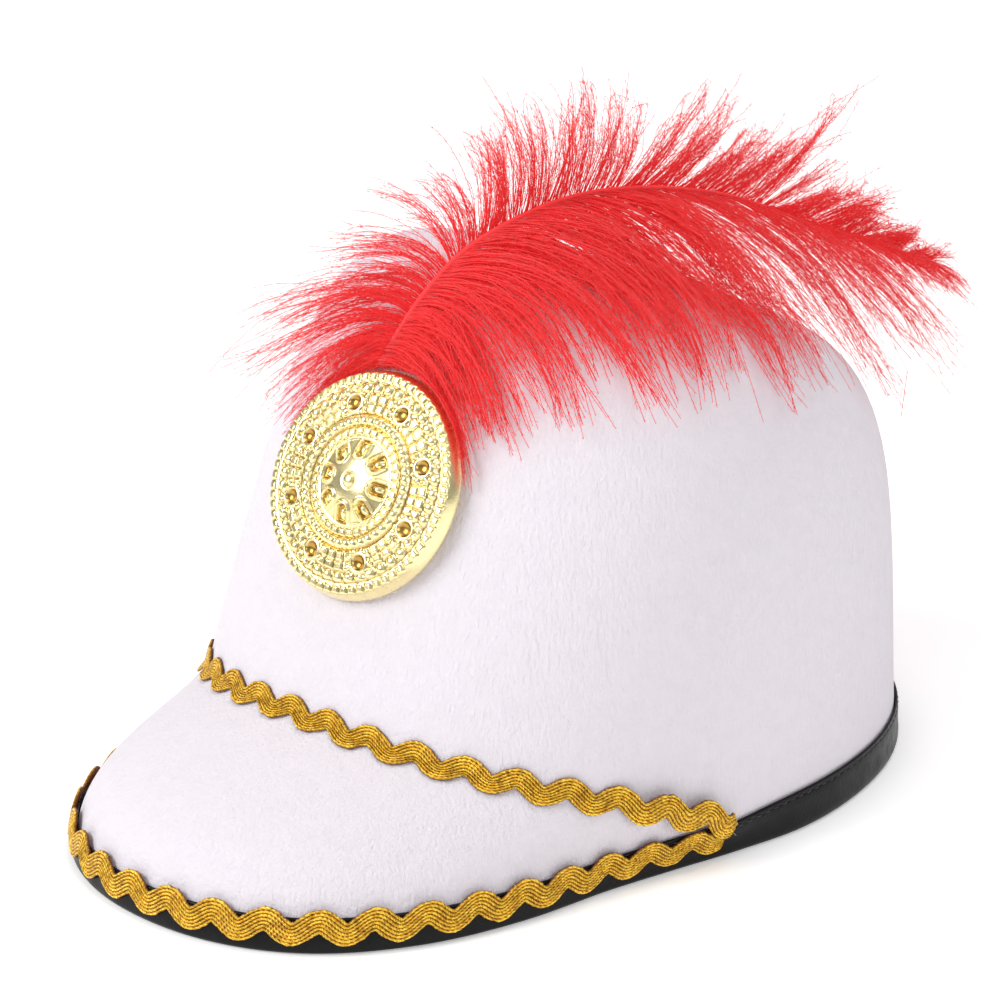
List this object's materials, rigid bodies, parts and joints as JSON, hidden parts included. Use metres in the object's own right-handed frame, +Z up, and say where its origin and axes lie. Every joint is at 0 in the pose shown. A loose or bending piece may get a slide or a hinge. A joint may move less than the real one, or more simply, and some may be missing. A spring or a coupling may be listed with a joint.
{
  "type": "drum major hat",
  "caption": "Parade hat in moulded white felt with a short peak, a bound edge, wavy gold braid, a round relief medallion on the front and a red plume swept back over the crown.",
  "frame": {"origin": "centre of the head opening, on the plane that the hat's rim rests on", "axes": "+Z up through the crown, -Y forwards over the peak, +X to the wearer's left"},
  "size_m": [0.1765, 0.3206, 0.1909],
  "materials": {
    "white_felt": "matt felt, faintly lavender white",
    "black_vinyl": "soft sheen",
    "gold_braid": "metallic thread",
    "gold_plated_plastic": "mirror plated pale gold",
    "red_feather": "dyed feather"
  },
  "bodies": {
    "root": {"felt_body": "white_felt", "edge_binding": "black_vinyl", "crease_braid": "gold_braid", "edge_braid": "gold_braid", "medallion": "gold_plated_plastic", "plume": "red_feather"}
  },
  "joints": []
}
